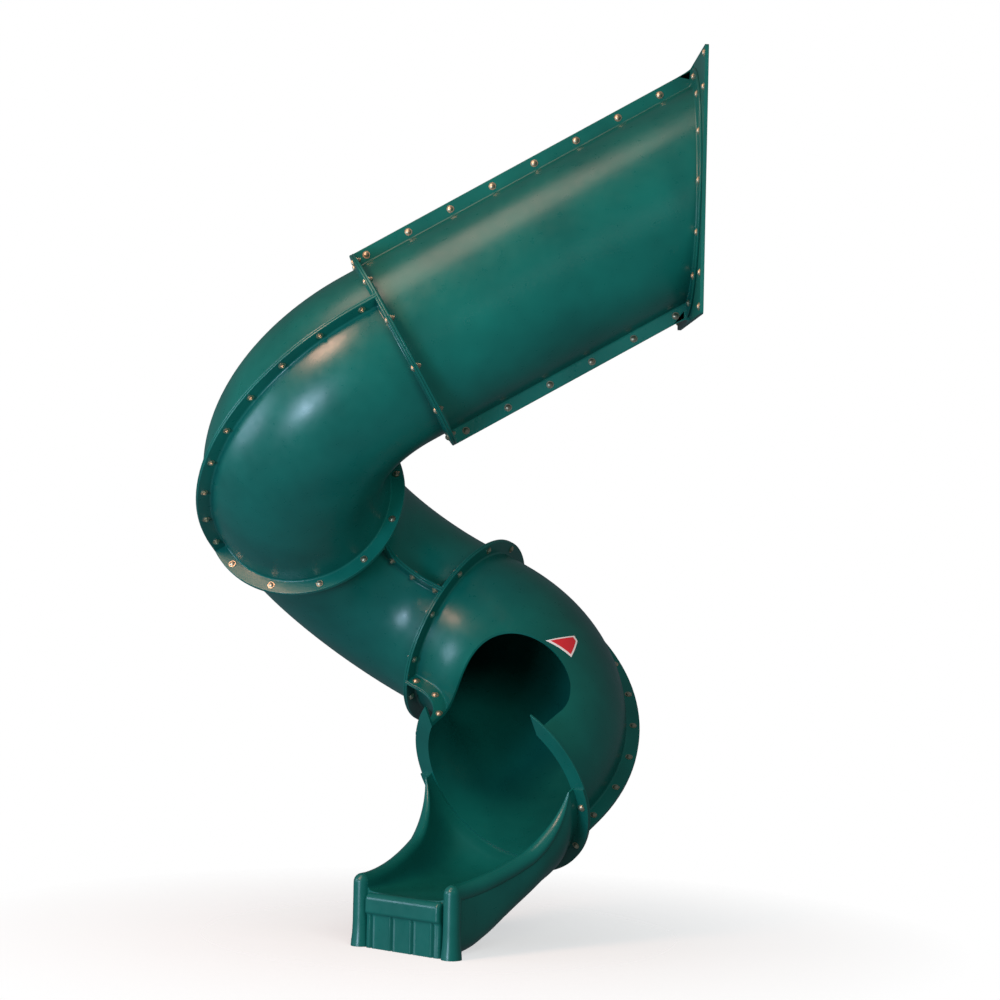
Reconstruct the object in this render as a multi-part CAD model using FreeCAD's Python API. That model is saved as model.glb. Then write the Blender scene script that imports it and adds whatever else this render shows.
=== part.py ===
"""Enclosed spiral tube slide: wall panel, straight entry tube, three bolted elbows, exit chute.

Row frame: origin at the centre of the wall panel's back face, +X into the deck wall, +Z up.
The tube leaves the wall towards -X and winds down clockwise, seen from above.
"""
import FreeCAD, Part
import math
import os

from FreeCAD import Placement, Rotation, Vector

# ---------------------------------------------------------------- driving dimensions (mm, degrees)
# Tube
BORE_RADIUS = 305.0
WALL = 7.0
FLANGE_RADIUS = 361.0
BOLT_CIRCLE_RADIUS = 337.5
RING_FLANGE = 8.0
SEAM_FLANGE = 8.0

# Route
ENTRY_SLOPE = 30.0
ENTRY_LENGTH = 1100.0
BEND_RADIUS = 485.0
BEND_ANGLE = 90.0
COLLAR = 60.0
RING_BOLTS = 12
ELBOW_CLOCKING_STEPS = 2

# Wall panel
PANEL_WIDTH = 760.0
PANEL_HEIGHT = 870.0
PANEL_THICKNESS = 12.0
PANEL_CORNER_RADIUS = 12.0
PANEL_HOLE_EDGE = 25.0
PANEL_HOLE_STEP = 110.0
PANEL_HOLE_DIAMETER = 11.0
GUSSET_RUN = 60.0
GUSSET_MARGIN = 3.0
GUSSET_LAP = 39.0

# Bolt rows
END_FLANGE_BOLTS_PER_SIDE = 7
END_FLANGE_FIRST_ANGLE = 15.0
ENTRY_TOP_BOLTS = 8
ENTRY_TOP_GAPS = (45.0, 130.0)
ENTRY_BOTTOM_BOLTS = 6
ENTRY_BOTTOM_GAPS = (55.0, 50.0)
OUTER_SEAM_BOLTS = 9
OUTER_SEAM_END_GAP = 62.0
INNER_SEAM_BOLTS = 4
INNER_SEAM_END_GAP = 31.0

# Fasteners
SHANK_DIAMETER = 8.0
HOLE_CLEARANCE = 1.0
HEAD_DIAMETER = 18.0
HEAD_HEIGHT = 6.0
WASHER_DIAMETER = 25.0
WASHER_THICKNESS = 2.0
NUT_ACROSS_FLATS = 13.0
NUT_HEIGHT = 6.5
THREAD_PROUD = 3.0
INSERT_DIAMETER = 12.0
INSERT_END_GAP = 1.0

# Exit opening in the upper shell of the last elbow
OPENING_WIDTH = 465.0
OPENING_STRAIGHT = 140.0

# Exit chute
CHUTE_COLLAR = 30.0
CHUTE_BEND_RADIUS = 560.0
CHUTE_FLAT = 325.0
CHUTE_NOSE = 15.0
CHUTE_WALL = 6.0
CHUTE_STATIONS = 12
BOWL_STEPS = 16
NARROWING_POWER = 1.6
LOWERING_POWER = 1.7
ROLL_RUN_SHARE = 0.5
ROLL_WIDTH = 58.0
HOLLOW_MIN_ROLL = 30.0
MOUTH_HALF_WIDTH = 170.0
MOUTH_WALL_HEIGHT = 30.0
ROUND_SQUARENESS = 2.0
MOUTH_SQUARENESS = 5.0
EXIT_HEIGHT = 180.0
FOOT_START_SHARE = 0.25
FOOT_END_SHARE = 0.9
FOOT_TRIM = 5.0
APRON_MARGIN = 15.0
APRON_DEPTH = 8.0
APRON_HEIGHT = 115.0
APRON_GROOVES = 4
APRON_GROOVE_PITCH = 90.0
APRON_GROOVE_RADIUS = 5.0
VENT_DIAMETER = 12.0
VENT_SETBACK = 60.0

# ---------------------------------------------------------------- derived sizes
TUBE_RADIUS = BORE_RADIUS + WALL
HOLE_DIAMETER = SHANK_DIAMETER + HOLE_CLEARANCE
RING_PITCH = 360.0 / RING_BOLTS
FIRST_RING_BOLT = RING_PITCH / 2.0
ELBOW_CLOCKING = ELBOW_CLOCKING_STEPS * RING_PITCH
FIRST_CLOCKING = ELBOW_CLOCKING / 2.0
RISE = math.tan(math.radians(ENTRY_SLOPE))
STRETCH = 1.0 / math.cos(math.radians(ENTRY_SLOPE))
PANEL_FRONT = Vector(-PANEL_THICKNESS, 0, 0)
BIG = 4.0 * FLANGE_RADIUS
ANGLE_SLACK = 1e-6

ORIGIN = Vector(0, 0, 0)
X_AXIS = Vector(1, 0, 0)
Y_AXIS = Vector(0, 1, 0)
Z_AXIS = Vector(0, 0, 1)


# ---------------------------------------------------------------- frames along the route
# A ring frame stands at the centre of a joint: X along the ride, Y to the rider's left.
def turned(axis, angle):
    return Placement(ORIGIN, Rotation(axis, angle))


def shifted(x, y=0.0, z=0.0):
    return Placement(Vector(x, y, z), Rotation())


def entry_frame():
    slope = math.radians(ENTRY_SLOPE)
    along = Vector(-math.cos(slope), 0, -math.sin(slope))
    left = Vector(0, -1, 0)
    up = along.cross(left)
    centre = PANEL_FRONT + along * ENTRY_LENGTH
    return Placement(centre, Rotation(along, left, up, "XYZ"))


def elbow_exit():
    """Outlet ring frame in an elbow's own inlet frame, before the next clocking."""
    bend_centre = Vector(COLLAR, -BEND_RADIUS, 0)
    swing = Placement(ORIGIN, Rotation(Z_AXIS, -BEND_ANGLE), bend_centre)
    return swing.multiply(shifted(2.0 * COLLAR))


def route_frames():
    """Inlet frames of the three elbows and the outlet frame of the last."""
    first = entry_frame().multiply(turned(X_AXIS, FIRST_CLOCKING))
    second = first.multiply(elbow_exit()).multiply(turned(X_AXIS, ELBOW_CLOCKING))
    third = second.multiply(elbow_exit()).multiply(turned(X_AXIS, ELBOW_CLOCKING))
    return [first, second, third], third.multiply(elbow_exit())


def chute_frame(outlet):
    """The outlet frame turned about the tube's axis until its Y is level."""
    along = outlet.Rotation.multVec(X_AXIS)
    left = Z_AXIS.cross(along)
    left.normalize()
    return Placement(outlet.Base, Rotation(along, left, along.cross(left), "XYZ"))


# ---------------------------------------------------------------- small shape helpers
def placed(shape, placement):
    result = shape.copy()
    result.transformShape(placement.toMatrix())
    return result


def joined(shapes):
    result = shapes[0].fuse(shapes[1:]) if len(shapes) > 1 else shapes[0]
    return result.removeSplitter()


def face_of(edges):
    return Part.Face(Part.Wire(edges))


def line(a, b):
    return Part.LineSegment(a, b).toShape()


def arc(a, middle, b):
    return Part.Arc(a, middle, b).toShape()


def disc_ring(outer, inner, thickness, centre=ORIGIN, axis=Z_AXIS):
    return Part.makeCylinder(outer, thickness, centre, axis).cut(
        Part.makeCylinder(inner, thickness, centre, axis))


def export(name, shapes):
    solids = [solid for shape in shapes for solid in shape.Solids]
    shape = solids[0] if len(solids) == 1 else Part.makeCompound(solids)
    shape.exportStep("parts/" + name + ".step")


# ---------------------------------------------------------------- fasteners
# A fastener frame has its origin on the face under the head, and Z along the shank.
def fastener_frame(point, direction):
    return Placement(point, Rotation(Z_AXIS, direction))


def dome_bolt(length):
    """Dome-head bolt: the dome is a spherical cap over a short rim."""
    rim = HEAD_HEIGHT / 4.0
    cap = HEAD_HEIGHT - rim
    radius = HEAD_DIAMETER / 2.0
    sphere = (radius * radius + cap * cap) / (2.0 * cap)
    seat = -WASHER_THICKNESS
    crown_middle = math.asin(radius / sphere) / 2.0
    centre_z = seat - rim - cap + sphere
    shank = SHANK_DIAMETER / 2.0
    edges = [
        line(Vector(0, 0, length), Vector(shank, 0, length)),
        line(Vector(shank, 0, length), Vector(shank, 0, seat)),
        line(Vector(shank, 0, seat), Vector(radius, 0, seat)),
        line(Vector(radius, 0, seat), Vector(radius, 0, seat - rim)),
        arc(Vector(radius, 0, seat - rim),
            Vector(sphere * math.sin(crown_middle), 0, centre_z - sphere * math.cos(crown_middle)),
            Vector(0, 0, seat - rim - cap)),
        line(Vector(0, 0, seat - rim - cap), Vector(0, 0, length)),
    ]
    return face_of(edges).revolve(ORIGIN, Z_AXIS, 360)


def washer(seat):
    return disc_ring(WASHER_DIAMETER / 2.0, HOLE_DIAMETER / 2.0, WASHER_THICKNESS,
                     Vector(0, 0, seat))


def hex_nut(seat):
    corner = NUT_ACROSS_FLATS / math.sqrt(3.0)
    points = [Vector(corner * math.cos(math.radians(60 * k)),
                     corner * math.sin(math.radians(60 * k)), seat) for k in range(7)]
    body = Part.Face(Part.makePolygon(points)).extrude(Vector(0, 0, NUT_HEIGHT))
    return body.cut(Part.makeCylinder(SHANK_DIAMETER / 2.0, NUT_HEIGHT, Vector(0, 0, seat)))


def threaded_insert():
    return disc_ring(INSERT_DIAMETER / 2.0, SHANK_DIAMETER / 2.0, PANEL_THICKNESS,
                     Vector(0, 0, RING_FLANGE))


def export_bolted_joint(name, frames, grip):
    """Bolts, a washer under each head and each nut, and nuts, as one node of each kind."""
    bolt = dome_bolt(grip + WASHER_THICKNESS + NUT_HEIGHT + THREAD_PROUD)
    export(name + "_bolts", [placed(bolt, frame) for frame in frames])
    export(name + "_washers", [placed(washer(seat), frame) for frame in frames
                               for seat in (-WASHER_THICKNESS, grip)])
    export(name + "_nuts", [placed(hex_nut(grip + WASHER_THICKNESS), frame) for frame in frames])


def drilled(shape, frames, depth, diameter=HOLE_DIAMETER):
    """Holes from just above the seat to just past the depth, one for each fastener frame."""
    margin = SEAM_FLANGE / 2.0
    drill = Part.makeCylinder(diameter / 2.0, depth + 2.0 * margin, Vector(0, 0, -margin))
    return shape.cut([placed(drill, frame) for frame in frames])


# ---------------------------------------------------------------- half shells
def half_profile():
    """Upper half of the tube wall with its two seam flanges, in the YZ plane."""
    root = math.sqrt(TUBE_RADIUS ** 2 - SEAM_FLANGE ** 2)
    corners = [Vector(0, BORE_RADIUS, 0), Vector(0, FLANGE_RADIUS, 0),
               Vector(0, FLANGE_RADIUS, SEAM_FLANGE), Vector(0, root, SEAM_FLANGE)]
    mirrored = [Vector(0, -p.y, p.z) for p in reversed(corners)]
    edges = [line(a, b) for a, b in zip(corners, corners[1:])]
    edges.append(arc(corners[-1], Vector(0, 0, TUBE_RADIUS), mirrored[0]))
    edges += [line(a, b) for a, b in zip(mirrored, mirrored[1:])]
    edges.append(arc(mirrored[-1], Vector(0, 0, BORE_RADIUS), corners[0]))
    return face_of(edges)


def half_ring(thickness, start_x):
    """Upper half of a ring flange from the bore to the flange rim."""
    edges = [
        line(Vector(start_x, BORE_RADIUS, 0), Vector(start_x, FLANGE_RADIUS, 0)),
        arc(Vector(start_x, FLANGE_RADIUS, 0), Vector(start_x, 0, FLANGE_RADIUS),
            Vector(start_x, -FLANGE_RADIUS, 0)),
        line(Vector(start_x, -FLANGE_RADIUS, 0), Vector(start_x, -BORE_RADIUS, 0)),
        arc(Vector(start_x, -BORE_RADIUS, 0), Vector(start_x, 0, BORE_RADIUS),
            Vector(start_x, BORE_RADIUS, 0)),
    ]
    return face_of(edges).extrude(Vector(thickness, 0, 0))


def elbow_shell():
    """Upper half of an elbow in its inlet frame: collar, bend, collar and two ring flanges."""
    profile = half_profile()
    bend_centre = Vector(COLLAR, -BEND_RADIUS, 0)
    inlet = profile.extrude(Vector(COLLAR, 0, 0))
    bend = placed(profile, shifted(COLLAR)).revolve(bend_centre, Z_AXIS, -BEND_ANGLE)
    outlet_frame = elbow_exit()
    outlet = placed(profile, shifted(-COLLAR)).extrude(Vector(COLLAR, 0, 0))
    outlet_flange = half_ring(RING_FLANGE, -RING_FLANGE)
    return joined([inlet, bend, placed(outlet, outlet_frame), half_ring(RING_FLANGE, 0),
                   placed(outlet_flange, outlet_frame)])


def mirrored_below(shape):
    """The lower shell that mates with an upper one, in the same frame."""
    return shape.mirror(ORIGIN, Z_AXIS)


# ---------------------------------------------------------------- bolt positions
def ring_positions(count=RING_BOLTS):
    """Angles of a ring's bolts about the tube's axis, from the seam."""
    return [FIRST_RING_BOLT + RING_PITCH * k for k in range(count)]


def ring_fasteners(frame, angles, heads_upstream):
    """Fasteners through a pair of ring flanges that meet at the frame's origin."""
    side = -1.0 if heads_upstream else 1.0
    frames = []
    for angle in angles:
        a = math.radians(angle)
        seat = Vector(side * RING_FLANGE, BOLT_CIRCLE_RADIUS * math.cos(a),
                      BOLT_CIRCLE_RADIUS * math.sin(a))
        frames.append(frame.multiply(fastener_frame(seat, X_AXIS * -side)))
    return frames


def seam_point(distance, radius_shift):
    """Point on an elbow's seam at a distance along it, measured at the shifted radius."""
    radius = BEND_RADIUS + radius_shift
    bend_length = radius * math.radians(BEND_ANGLE)
    if distance < COLLAR:
        return Vector(distance, radius_shift, 0)
    if distance <= COLLAR + bend_length:
        angle = (distance - COLLAR) / radius
        return Vector(COLLAR + radius * math.sin(angle),
                      radius * math.cos(angle) - BEND_RADIUS, 0)
    past = distance - COLLAR - bend_length
    return elbow_exit().multVec(Vector(past - COLLAR, radius_shift, 0))


def elbow_seam_fasteners(frame):
    rows = [(BOLT_CIRCLE_RADIUS, OUTER_SEAM_BOLTS, OUTER_SEAM_END_GAP),
            (-BOLT_CIRCLE_RADIUS, INNER_SEAM_BOLTS, INNER_SEAM_END_GAP)]
    frames = []
    for shift, count, end_gap in rows:
        length = 2.0 * COLLAR + (BEND_RADIUS + shift) * math.radians(BEND_ANGLE)
        pitch = (length - 2.0 * end_gap) / (count - 1)
        for k in range(count):
            seat = seam_point(end_gap + pitch * k, shift) + Z_AXIS * SEAM_FLANGE
            frames.append(frame.multiply(fastener_frame(seat, Z_AXIS * -1)))
    return frames


def entry_seam_fasteners():
    """Fasteners along the top and bottom seams of the entry tube, heads on the left shell."""
    frame = entry_frame()
    rows = [(BOLT_CIRCLE_RADIUS, ENTRY_TOP_BOLTS, ENTRY_TOP_GAPS),
            (-BOLT_CIRCLE_RADIUS, ENTRY_BOTTOM_BOLTS, ENTRY_BOTTOM_GAPS)]
    frames = []
    for height, count, (ring_gap, wall_gap) in rows:
        length = ENTRY_LENGTH + height * RISE
        pitch = (length - ring_gap - wall_gap) / (count - 1)
        for k in range(count):
            seat = Vector(-ring_gap - pitch * k, SEAM_FLANGE, height)
            frames.append(frame.multiply(fastener_frame(seat, Y_AXIS * -1)))
    return frames


def end_flange_fasteners(side):
    """Screws through the end flange of one entry shell into the panel; side is -1 or 1 in Y."""
    span = 180.0 - 2.0 * END_FLANGE_FIRST_ANGLE
    frames = []
    for k in range(END_FLANGE_BOLTS_PER_SIDE):
        a = math.radians(END_FLANGE_FIRST_ANGLE + span * k / (END_FLANGE_BOLTS_PER_SIDE - 1))
        seat = Vector(PANEL_FRONT.x - RING_FLANGE, side * BOLT_CIRCLE_RADIUS * math.sin(a),
                      BOLT_CIRCLE_RADIUS * STRETCH * math.cos(a))
        frames.append(fastener_frame(seat, X_AXIS))
    return frames


def panel_hole_centres():
    """Deck fixing holes: the four corners, and four more one step nearer the middle."""
    half_y = PANEL_WIDTH / 2.0 - PANEL_HOLE_EDGE
    half_z = PANEL_HEIGHT / 2.0 - PANEL_HOLE_EDGE
    return [Vector(0, sy * half_y, sz * z) for z in (half_z, half_z - PANEL_HOLE_STEP)
            for sy in (-1, 1) for sz in (-1, 1)]


# ---------------------------------------------------------------- sub-parts
def bore_cutter():
    """The entry bore, long enough to pass through the panel."""
    frame = entry_frame()
    start = -ENTRY_LENGTH - BIG
    cylinder = Part.makeCylinder(BORE_RADIUS, BIG + ENTRY_LENGTH, Vector(start, 0, 0), X_AXIS)
    return placed(cylinder, frame)


def wall_panel():
    blank = Part.makeBox(PANEL_THICKNESS, PANEL_WIDTH, PANEL_HEIGHT,
                         Vector(-PANEL_THICKNESS, -PANEL_WIDTH / 2.0, -PANEL_HEIGHT / 2.0))
    corners = [e for e in blank.Edges
               if e.tangentAt(e.FirstParameter).cross(X_AXIS).Length < ANGLE_SLACK]
    blank = blank.makeFillet(PANEL_CORNER_RADIUS, corners)
    blank = blank.cut(bore_cutter())
    blank = drilled(blank, end_flange_fasteners(-1) + end_flange_fasteners(1),
                    PANEL_THICKNESS + RING_FLANGE, INSERT_DIAMETER)
    drill = Part.makeCylinder(PANEL_HOLE_DIAMETER / 2.0, 3.0 * PANEL_THICKNESS,
                              Vector(-2.0 * PANEL_THICKNESS, 0, 0), X_AXIS)
    return blank.cut([placed(drill, Placement(c, Rotation())) for c in panel_hole_centres()])


def end_flange_half():
    """Elliptical end flange of the left entry shell, flat against the panel."""
    major = Vector(0, 0, FLANGE_RADIUS * STRETCH)
    minor = Vector(0, FLANGE_RADIUS, 0)
    plate = face_of([Part.Ellipse(major, minor, ORIGIN).toShape()])
    plate = placed(plate, Placement(PANEL_FRONT - X_AXIS * RING_FLANGE, Rotation()))
    half = Part.makeBox(BIG, BIG, 2.0 * BIG, Vector(-BIG / 2.0, -BIG, -BIG))
    return plate.extrude(Vector(RING_FLANGE, 0, 0)).common(half)


def seam_gusset(up):
    """Web that sweeps from a seam flange's rim out to the panel's edge; up is 1 or -1."""
    rim = up * FLANGE_RADIUS * STRETCH
    corner = PANEL_FRONT + Z_AXIS * rim
    slope = math.radians(ENTRY_SLOPE)
    along = Vector(-math.cos(slope), 0, -math.sin(slope))
    start = corner + along * GUSSET_RUN
    tip = PANEL_FRONT + Z_AXIS * up * (PANEL_HEIGHT / 2.0 - GUSSET_MARGIN)
    inner = corner - Z_AXIS * up * GUSSET_LAP
    curve = Part.BezierCurve()
    curve.setPoles([start, corner, tip])
    face = face_of([curve.toShape(), line(tip, inner), line(inner, start)])
    return face.extrude(Vector(0, -SEAM_FLANGE, 0))


def entry_shell(side):
    """Left (side -1) or right (side 1) half of the entry tube, split by a vertical plane."""
    frame = entry_frame()
    lean = turned(X_AXIS, -90.0)
    start = -ENTRY_LENGTH - FLANGE_RADIUS * RISE - BIG / 4.0
    tube = placed(half_profile(), shifted(start)).extrude(Vector(-start, 0, 0))
    tube = placed(tube, frame.multiply(lean))
    keep = Part.makeBox(2.0 * ENTRY_LENGTH + BIG, 2.0 * BIG, 4.0 * BIG,
                        Vector(PANEL_FRONT.x - 2.0 * ENTRY_LENGTH - BIG, -BIG, -3.0 * BIG))
    tube = tube.common(keep)
    ring = placed(half_ring(RING_FLANGE, -RING_FLANGE), frame.multiply(lean))
    body = joined([tube, ring, end_flange_half(), seam_gusset(1), seam_gusset(-1)])
    body = body.cut(bore_cutter())
    if side > 0:
        body = body.mirror(ORIGIN, Y_AXIS)
    body = drilled(body, entry_seam_fasteners(), 2.0 * SEAM_FLANGE)
    body = drilled(body, end_flange_fasteners(side), RING_FLANGE)
    return drilled(body, ring_fasteners(frame, ring_positions(), False), 2.0 * RING_FLANGE)


def exit_opening_cutter(outlet_upright):
    """Arched cutter that opens the top of the last elbow, in the level outlet frame."""
    half = OPENING_WIDTH / 2.0
    ahead = Vector(RING_FLANGE, 0, 0)
    back = Vector(-OPENING_STRAIGHT, 0, 0)
    side = Vector(0, half, 0)
    edges = [line(ahead - side, ahead + side), line(ahead + side, back + side),
             arc(back + side, back - X_AXIS * half, back - side), line(back - side, ahead - side)]
    return placed(face_of(edges).extrude(Vector(0, 0, BIG)), outlet_upright)


# ---------------------------------------------------------------- exit chute
def chute_path(distance, slope):
    """Forward place, height and tilt of the chute floor at a distance from the outlet ring."""
    x = -BORE_RADIUS * math.sin(slope)
    z = -BORE_RADIUS * math.cos(slope)
    straight = min(distance, CHUTE_COLLAR)
    x += straight * math.cos(slope)
    z -= straight * math.sin(slope)
    turned_angle = min(max(distance - CHUTE_COLLAR, 0.0) / CHUTE_BEND_RADIUS, slope)
    tilt = slope - turned_angle
    x += CHUTE_BEND_RADIUS * (math.sin(slope) - math.sin(tilt))
    z -= CHUTE_BEND_RADIUS * (math.cos(tilt) - math.cos(slope))
    x += max(distance - CHUTE_COLLAR - CHUTE_BEND_RADIUS * slope, 0.0)
    return x, z, tilt


def smooth(points):
    """Smooth edge through points."""
    curve = Part.BSplineCurve()
    curve.interpolate(points)
    return curve.toShape()


def eased(share):
    """Smooth step from 0 to 1."""
    share = min(max(share, 0.0), 1.0)
    return share * share * (3.0 - 2.0 * share)


def bowl(half_width, top, depth, squareness):
    """Points from the left rim down and up to the right rim: a superellipse, a circle at 2."""
    points = []
    for k in range(BOWL_STEPS + 1):
        a = math.pi * k / BOWL_STEPS
        side = math.copysign(abs(math.cos(a)) ** (2.0 / squareness), math.cos(a))
        points.append((half_width * side, top - depth * math.sin(a) ** (2.0 / squareness)))
    return points


def chute_section(station, inset, to_world):
    """Closed C-shaped section: underside, left roll, trough and right roll."""
    distance, half_width, wall, roll, underside, squareness, drop, slope = station
    x, z, tilt = chute_path(distance, slope)
    outer = half_width + roll - inset
    inner = half_width + inset
    middle = (inner + outer) / 2.0
    crest = wall + (outer - inner) / 2.0

    def spot(point):
        y, w = point
        up = w - drop
        return to_world.multVec(Vector(x + up * math.sin(tilt), y, z + up * math.cos(tilt)))

    under = bowl(outer, wall, wall + underside - inset, squareness)
    trough = bowl(inner, wall, wall + inset, squareness)
    return Part.Wire([
        smooth([spot(p) for p in under]),
        arc(spot(under[-1]), spot((-middle, crest)), spot(trough[-1])),
        smooth([spot(p) for p in reversed(trough)]),
        arc(spot(trough[0]), spot((middle, crest)), spot(under[0])),
    ])


def chute_stations(slope):
    """Stations from the collar to the mouth, easing from the half bore to the mouth's shape."""
    run = CHUTE_BEND_RADIUS * slope + CHUTE_FLAT
    stations = []
    for k in range(CHUTE_STATIONS + 1):
        share = k / CHUTE_STATIONS
        narrowing = 1.0 - (1.0 - share) ** NARROWING_POWER
        lowering = 1.0 - (1.0 - share) ** LOWERING_POWER
        rolling = math.sin(math.pi / 2.0 * min(share / ROLL_RUN_SHARE, 1.0))
        deepening = eased((share - FOOT_START_SHARE) / (FOOT_END_SHARE - FOOT_START_SHARE))
        stations.append((
            CHUTE_COLLAR + run * share,
            BORE_RADIUS + (MOUTH_HALF_WIDTH - BORE_RADIUS) * narrowing,
            BORE_RADIUS + (MOUTH_WALL_HEIGHT - BORE_RADIUS) * lowering,
            WALL + (ROLL_WIDTH - WALL) * rolling,
            WALL + (EXIT_HEIGHT + FOOT_TRIM - WALL) * deepening,
            ROUND_SQUARENESS + (MOUTH_SQUARENESS - ROUND_SQUARENESS) * share,
            0.0,
            slope,
        ))
    return stations


def nose_station(stations):
    """Front of the nose: the last section drawn in on every side to round the edge."""
    distance, half_width, wall, roll, underside, squareness, _, slope = stations[-1]
    return (distance + CHUTE_NOSE, half_width + CHUTE_NOSE / 2.0, wall, roll - CHUTE_NOSE,
            underside - CHUTE_NOSE, squareness, CHUTE_NOSE, slope)


def front_cuts(front, ground):
    """Recess under the nose, grooves down it, and vents through the base."""
    half = MOUTH_HALF_WIDTH - APRON_MARGIN
    low = ground - FOOT_TRIM
    cuts = [Part.makeBox(2.0 * APRON_DEPTH, 2.0 * half, APRON_HEIGHT + FOOT_TRIM,
                         Vector(front - APRON_DEPTH, -half, low))]
    for k in range(APRON_GROOVES):
        y = (k - (APRON_GROOVES - 1) / 2.0) * APRON_GROOVE_PITCH
        place = Vector(front - APRON_DEPTH + APRON_GROOVE_RADIUS / 2.0, y, low)
        cuts.append(Part.makeCylinder(APRON_GROOVE_RADIUS, APRON_HEIGHT + FOOT_TRIM, place))
    for side in (-1, 1):
        place = Vector(front - VENT_SETBACK, side * MOUTH_HALF_WIDTH, low)
        cuts.append(Part.makeCylinder(VENT_DIAMETER / 2.0, 2.0 * CHUTE_WALL + FOOT_TRIM, place))
    return cuts


def exit_chute(frame, ring_bolts, slope):
    """Open chute from the outlet ring to the ground: half flange, trough, rails, nose and foot."""
    forward = frame.Rotation.multVec(X_AXIS)
    forward.z = 0.0
    forward.normalize()
    level = Placement(frame.Base, Rotation(forward, Z_AXIS.cross(forward), Z_AXIS, "XYZ"))
    stations = chute_stations(slope)
    hollow_stations = [s for s in stations if s[3] > HOLLOW_MIN_ROLL]
    nose = [stations[-1], nose_station(stations)]
    front, floor, _ = chute_path(nose[1][0], slope)
    ground = floor - EXIT_HEIGHT

    def lofted(sections, inset):
        return Part.makeLoft([chute_section(s, inset, level) for s in sections], True, True)

    def below(height):
        return placed(Part.makeBox(2.0 * BIG, 2.0 * BIG, BIG,
                                   Vector(-BIG, -BIG, height - BIG)), level)

    lower_half = frame.multiply(turned(X_AXIS, 180.0))
    ring = half_ring(RING_FLANGE, 0.0).cut(
        Part.makeCylinder(BORE_RADIUS + WALL / 2.0, RING_FLANGE, ORIGIN, X_AXIS))
    flange = drilled(placed(ring, lower_half), ring_bolts, 2.0 * RING_FLANGE)
    collar = [(0.0,) + stations[0][1:], stations[0]]
    body = joined([flange, lofted(collar + stations[1:], 0.0), lofted(nose, 0.0)])
    hollow = lofted(hollow_stations, CHUTE_WALL).cut(below(ground + CHUTE_WALL))
    body = body.cut([hollow, below(ground)])
    return body.cut([placed(cut, level) for cut in front_cuts(front, ground)])


# ---------------------------------------------------------------- assembly
def export_entry():
    export("wall_panel", [wall_panel()])
    export("entry_shell_left", [entry_shell(-1)])
    export("entry_shell_right", [entry_shell(1)])
    screws = end_flange_fasteners(-1) + end_flange_fasteners(1)
    length = RING_FLANGE + PANEL_THICKNESS - INSERT_END_GAP
    export("end_flange_screws", [placed(dome_bolt(length), frame) for frame in screws])
    export("end_flange_washers", [placed(washer(-WASHER_THICKNESS), frame) for frame in screws])
    export("end_flange_inserts", [placed(threaded_insert(), frame) for frame in screws])
    export_bolted_joint("entry_seam", entry_seam_fasteners(), 2.0 * SEAM_FLANGE)


def elbow_pair(frame, inlet_bolts, outlet_bolts):
    """Drilled upper and lower shells of one elbow, in the row frame."""
    upper = elbow_shell()
    shells = [placed(upper, frame), placed(mirrored_below(upper), frame)]
    seam = elbow_seam_fasteners(frame)
    shells = [drilled(shell, seam, 2.0 * SEAM_FLANGE) for shell in shells]
    return [drilled(shell, inlet_bolts + outlet_bolts, 2.0 * RING_FLANGE) for shell in shells]


def main():
    os.makedirs("parts", exist_ok=True)
    elbows, outlet = route_frames()
    upright = chute_frame(outlet)
    slope = -math.asin(upright.Rotation.multVec(X_AXIS).z)

    rings = [ring_fasteners(entry_frame(), ring_positions(), False),
             ring_fasteners(elbows[1], ring_positions(), True),
             ring_fasteners(elbows[2], ring_positions(), False)]
    chute_angles = [a + FIRST_CLOCKING for a in ring_positions(RING_BOLTS // 2)]
    rings.append(ring_fasteners(outlet.multiply(turned(X_AXIS, 180.0)), chute_angles, False))

    export_entry()
    for k, frame in enumerate(elbows):
        upper, lower = elbow_pair(frame, rings[k], rings[k + 1])
        name = "elbow_%d" % (k + 1)
        if k == len(elbows) - 1:
            name = "exit_elbow"
            upper = upper.cut(exit_opening_cutter(upright))
        export(name + "_upper_shell", [upper])
        export(name + "_lower_shell", [lower])
        export_bolted_joint(name + "_seam", elbow_seam_fasteners(frame), 2.0 * SEAM_FLANGE)
    for k, fasteners in enumerate(rings):
        export_bolted_joint("ring_%d" % (k + 1), fasteners, 2.0 * RING_FLANGE)
    export("exit_chute", [exit_chute(upright, rings[3], slope)])


main()
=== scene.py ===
"""Looks of an enclosed spiral tube slide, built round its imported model.

It makes the moulded shells, the wall panel, the exit chute, the deck bolt heads, the blank
label and the stage, and gives every carried-over node its finish.
"""

import math

import bmesh
import bpy
from bpy.props import FloatProperty, FloatVectorProperty, PointerProperty
from mathutils import Matrix, Vector


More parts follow.
